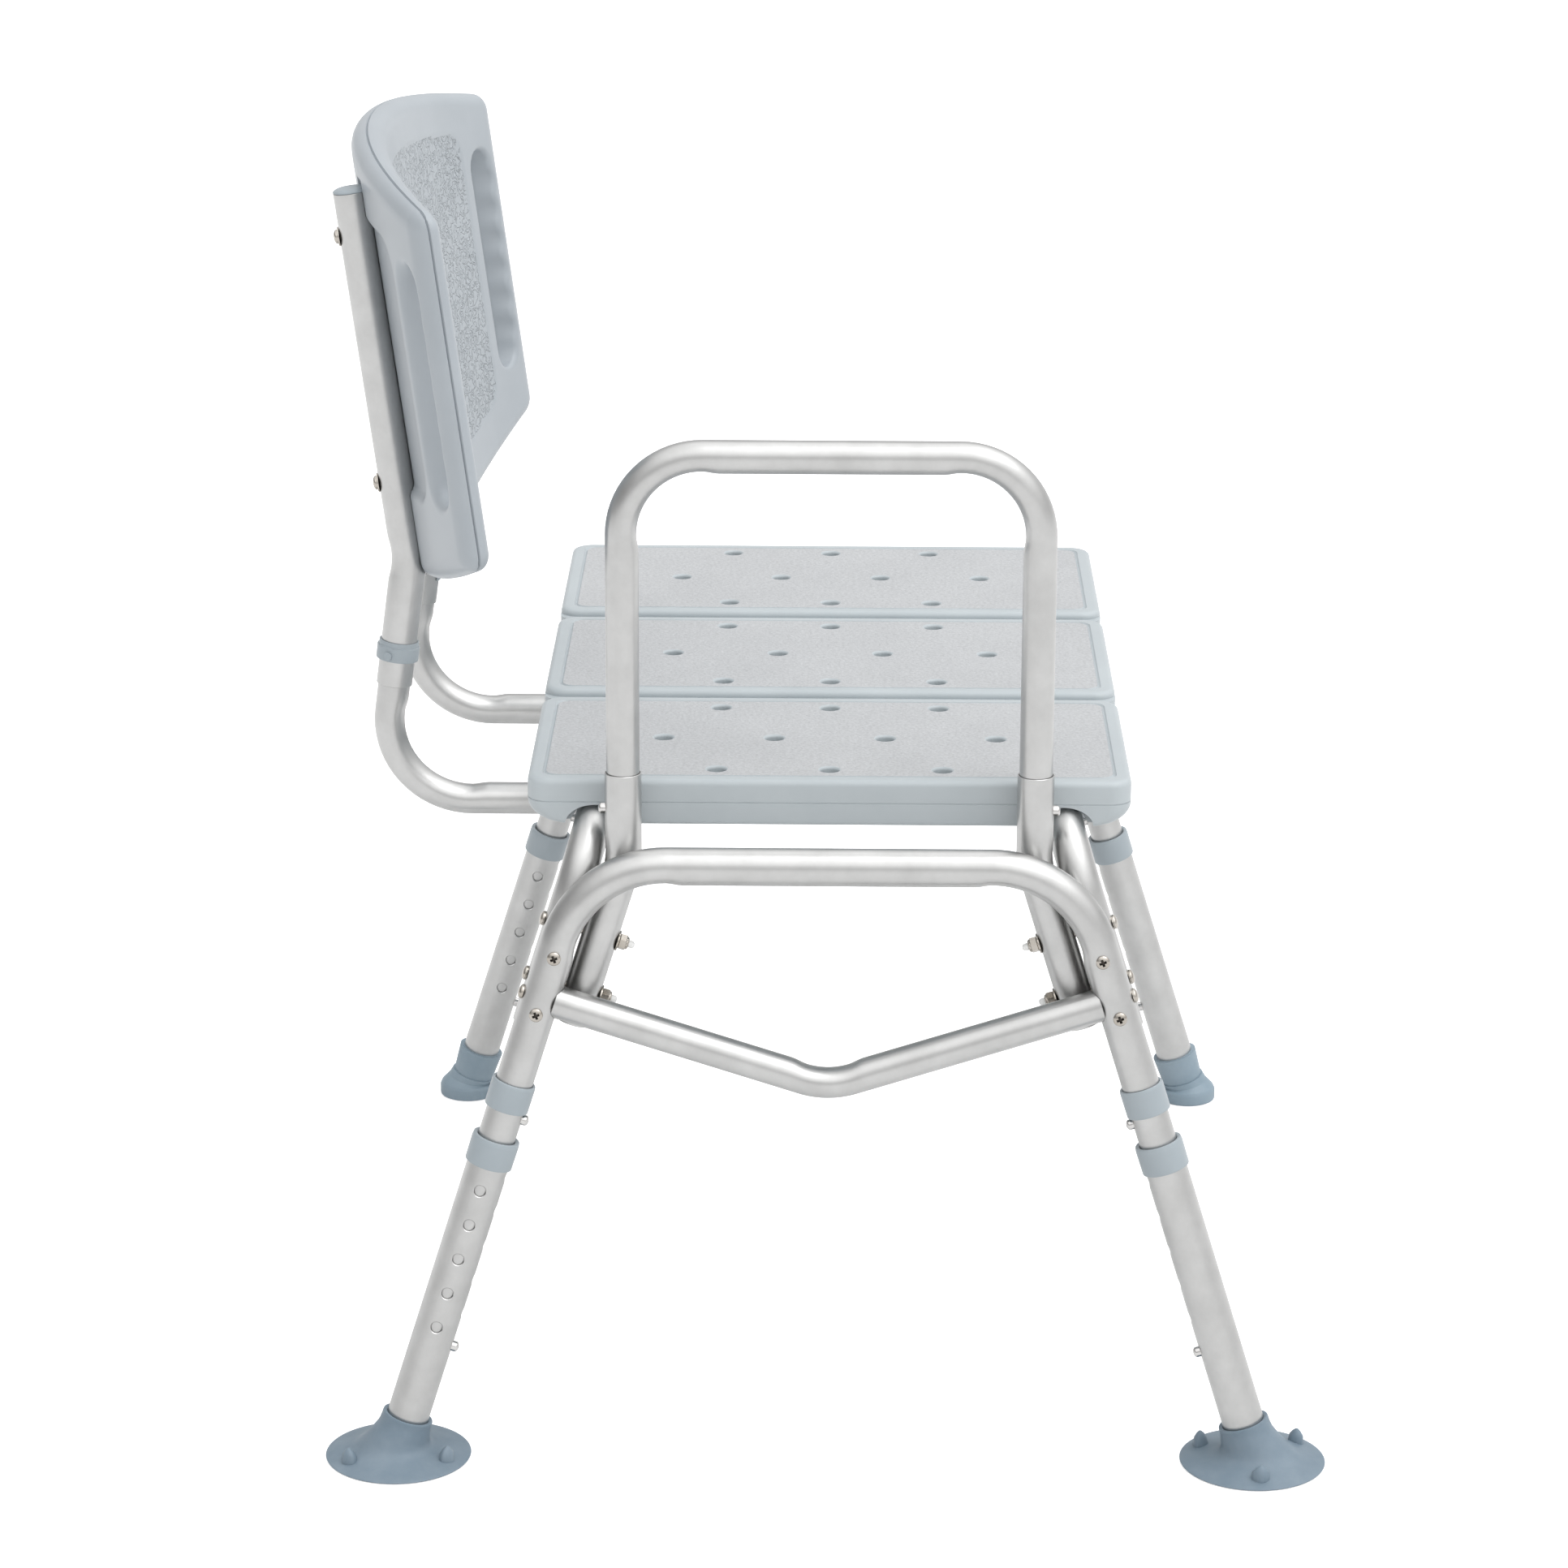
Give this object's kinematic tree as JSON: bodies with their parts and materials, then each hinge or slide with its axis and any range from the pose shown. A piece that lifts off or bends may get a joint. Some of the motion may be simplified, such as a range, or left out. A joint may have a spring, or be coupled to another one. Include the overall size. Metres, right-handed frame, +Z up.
{
  "type": "bath transfer bench",
  "caption": "Height-adjustable bath transfer bench with a slatted seat, lift-off backrest and arm rail, and suction cups at one end.",
  "frame": {"origin": "on the floor, under the middle of the bench's bounding box", "axes": "+Z up; the user sits facing -Y; the arm rail and the suction cups are at the -X end"},
  "size_m": [0.766, 0.682, 0.87],
  "materials": {
    "seat_plastic": "light grey blow-moulded plastic, pebbled on top",
    "back_plastic": "grey blow-moulded plastic with a wrinkled texture patch",
    "collar_plastic": "smooth blue-grey plastic",
    "aluminium": "satin anodised",
    "steel": "nickel plated",
    "rubber": "soft blue-grey rubber"
  },
  "bodies": {
    "frame": {"seat_panel_rail_end": "seat_plastic", "seat_panel_middle": "seat_plastic", "seat_panel_far_end": "seat_plastic", "seat_rail_front": "aluminium", "seat_rail_back": "aluminium", "arm_socket_front": "aluminium", "arm_socket_back": "aluminium", "socket_bolt_front_1": "steel", "socket_bolt_front_2": "steel", "socket_bolt_back_1": "steel", "socket_bolt_back_2": "steel", "leg_frame_rail_end": "aluminium", "leg_frame_far_end": "aluminium", "brace_rail_end": "aluminium", "brace_far_end": "aluminium", "back_support_rail_end": "aluminium", "back_support_far_end": "aluminium", "upper_collar_rail_end_front": "collar_plastic", "upper_collar_rail_end_back": "collar_plastic", "upper_collar_far_end_front": "collar_plastic", "upper_collar_far_end_back": "collar_plastic"},
    "leg_rail_end_front": {"lower_leg_rail_end_front": "aluminium", "lower_collar_rail_end_front": "collar_plastic", "suction_cup_front": "rubber"},
    "leg_lock_rail_end_front": {"leg_button_rail_end_front": "steel"},
    "spare_lock_rail_end_front": {"spare_button_rail_end_front": "steel"},
    "leg_rail_end_back": {"lower_leg_rail_end_back": "aluminium", "lower_collar_rail_end_back": "collar_plastic", "suction_cup_back": "rubber"},
    "leg_lock_rail_end_back": {"leg_button_rail_end_back": "steel"},
    "spare_lock_rail_end_back": {"spare_button_rail_end_back": "steel"},
    "leg_far_end_front": {"lower_leg_far_end_front": "aluminium", "lower_collar_far_end_front": "collar_plastic", "rubber_tip_front": "rubber"},
    "leg_lock_far_end_front": {"leg_button_far_end_front": "steel"},
    "spare_lock_far_end_front": {"spare_button_far_end_front": "steel"},
    "leg_far_end_back": {"lower_leg_far_end_back": "aluminium", "lower_collar_far_end_back": "collar_plastic", "rubber_tip_back": "rubber"},
    "leg_lock_far_end_back": {"leg_button_far_end_back": "steel"},
    "spare_lock_far_end_back": {"spare_button_far_end_back": "steel"},
    "arm": {"arm_rail": "aluminium"},
    "arm_lock_front": {"arm_button_front": "steel"},
    "arm_lock_back": {"arm_button_back": "steel"},
    "back": {"backrest_panel": "back_plastic", "back_post_rail_end": "aluminium", "post_cap_rail_end": "collar_plastic", "back_collar_rail_end": "collar_plastic", "back_screw_rail_end_1": "steel", "back_screw_rail_end_2": "steel", "back_post_far_end": "aluminium", "post_cap_far_end": "collar_plastic", "back_collar_far_end": "collar_plastic", "back_screw_far_end_1": "steel", "back_screw_far_end_2": "steel"},
    "back_lock_rail_end": {"back_button_rail_end": "steel"},
    "back_lock_far_end": {"back_button_far_end": "steel"}
  },
  "joints": [
    {"name": "leg_slide_rail_end_front", "type": "slide", "parent": "frame", "child": "leg_rail_end_front", "axis": [-0.061, -0.2987, -0.9524], "range_m": [0, 0.127]},
    {"name": "leg_press_rail_end_front", "type": "slide", "parent": "leg_rail_end_front", "child": "leg_lock_rail_end_front", "axis": [0, -0.9542, 0.2992], "range_m": [0, 0.005], "stiffness_N_per_m": 400, "springref_m": -0.002},
    {"name": "spare_press_rail_end_front", "type": "slide", "parent": "frame", "child": "spare_lock_rail_end_front", "axis": [0, -0.9542, 0.2992], "range_m": [0, 0.0046], "stiffness_N_per_m": 400, "springref_m": -0.002},
    {"name": "leg_slide_rail_end_back", "type": "slide", "parent": "frame", "child": "leg_rail_end_back", "axis": [-0.061, 0.2987, -0.9524], "range_m": [0, 0.127]},
    {"name": "leg_press_rail_end_back", "type": "slide", "parent": "leg_rail_end_back", "child": "leg_lock_rail_end_back", "axis": [0, 0.9542, 0.2992], "range_m": [0, 0.005], "stiffness_N_per_m": 400, "springref_m": -0.002},
    {"name": "spare_press_rail_end_back", "type": "slide", "parent": "frame", "child": "spare_lock_rail_end_back", "axis": [0, 0.9542, 0.2992], "range_m": [0, 0.0046], "stiffness_N_per_m": 400, "springref_m": -0.002},
    {"name": "leg_slide_far_end_front", "type": "slide", "parent": "frame", "child": "leg_far_end_front", "axis": [0.061, -0.2987, -0.9524], "range_m": [0, 0.127]},
    {"name": "leg_press_far_end_front", "type": "slide", "parent": "leg_far_end_front", "child": "leg_lock_far_end_front", "axis": [0, -0.9542, 0.2992], "range_m": [0, 0.005], "stiffness_N_per_m": 400, "springref_m": -0.002},
    {"name": "spare_press_far_end_front", "type": "slide", "parent": "frame", "child": "spare_lock_far_end_front", "axis": [0, -0.9542, 0.2992], "range_m": [0, 0.0046], "stiffness_N_per_m": 400, "springref_m": -0.002},
    {"name": "leg_slide_far_end_back", "type": "slide", "parent": "frame", "child": "leg_far_end_back", "axis": [0.061, 0.2987, -0.9524], "range_m": [0, 0.127]},
    {"name": "leg_press_far_end_back", "type": "slide", "parent": "leg_far_end_back", "child": "leg_lock_far_end_back", "axis": [0, 0.9542, 0.2992], "range_m": [0, 0.005], "stiffness_N_per_m": 400, "springref_m": -0.002},
    {"name": "spare_press_far_end_back", "type": "slide", "parent": "frame", "child": "spare_lock_far_end_back", "axis": [0, 0.9542, 0.2992], "range_m": [0, 0.0046], "stiffness_N_per_m": 400, "springref_m": -0.002},
    {"name": "arm_lift", "type": "slide", "parent": "frame", "child": "arm", "axis": [0, 0, 1], "range_m": [0, 0.06]},
    {"name": "arm_press_front", "type": "slide", "parent": "frame", "child": "arm_lock_front", "axis": [0, 1, 0], "range_m": [0, 0.0046], "stiffness_N_per_m": 400, "springref_m": -0.002},
    {"name": "arm_press_back", "type": "slide", "parent": "frame", "child": "arm_lock_back", "axis": [0, -1, 0], "range_m": [0, 0.0046], "stiffness_N_per_m": 400, "springref_m": -0.002},
    {"name": "back_lift", "type": "slide", "parent": "frame", "child": "back", "axis": [0, -0.1305, 0.9915], "range_m": [0, 0.075]},
    {"name": "back_press_rail_end", "type": "slide", "parent": "back", "child": "back_lock_rail_end", "axis": [-1, 0, 0], "range_m": [0, 0.0046], "stiffness_N_per_m": 400, "springref_m": -0.002},
    {"name": "back_press_far_end", "type": "slide", "parent": "back", "child": "back_lock_far_end", "axis": [1, 0, 0], "range_m": [0, 0.0046], "stiffness_N_per_m": 400, "springref_m": -0.002}
  ]
}
